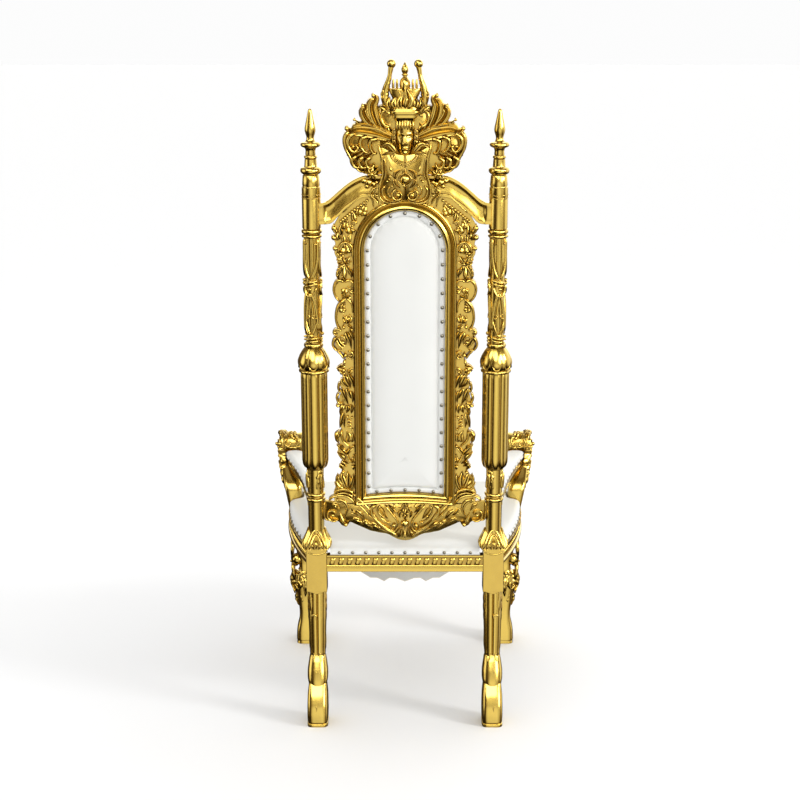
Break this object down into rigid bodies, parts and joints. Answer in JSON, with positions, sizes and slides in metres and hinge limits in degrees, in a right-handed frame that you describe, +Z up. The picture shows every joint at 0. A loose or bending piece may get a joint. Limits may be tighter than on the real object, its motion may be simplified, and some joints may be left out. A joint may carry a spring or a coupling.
{
  "type": "throne",
  "caption": "High-backed carved throne with gilded posts, pierced back frame, crowned crest, scrolled arms and white upholstery.",
  "frame": {"origin": "on the floor, under the middle of the whole throne's box", "axes": "+Z up, the front towards -Y, +X on the sitter's left"},
  "size_m": [0.764, 0.7976, 1.8],
  "materials": {
    "gold": "glossy gold paint over carved hardwood",
    "white_leather": "satin white leatherette",
    "tacks": "polished silver domes",
    "primer": "flat pale grey undercoat"
  },
  "bodies": {
    "root": {"rear_post_left": "gold", "rear_post_right": "gold", "back_frame": "gold", "back_bottom_rail": "gold", "crest": "gold", "back_pad_rear": "white_leather", "back_pad_front": "white_leather", "seat_cushion": "white_leather", "seat_rail_back": "gold", "seat_rail_left": "gold", "seat_rail_right": "gold", "seat_rail_front": "gold", "front_leg_left": "gold", "front_leg_right": "gold", "arm_left": "gold", "arm_right": "gold", "arm_pad_left": "white_leather", "arm_pad_right": "white_leather"}
  },
  "joints": []
}
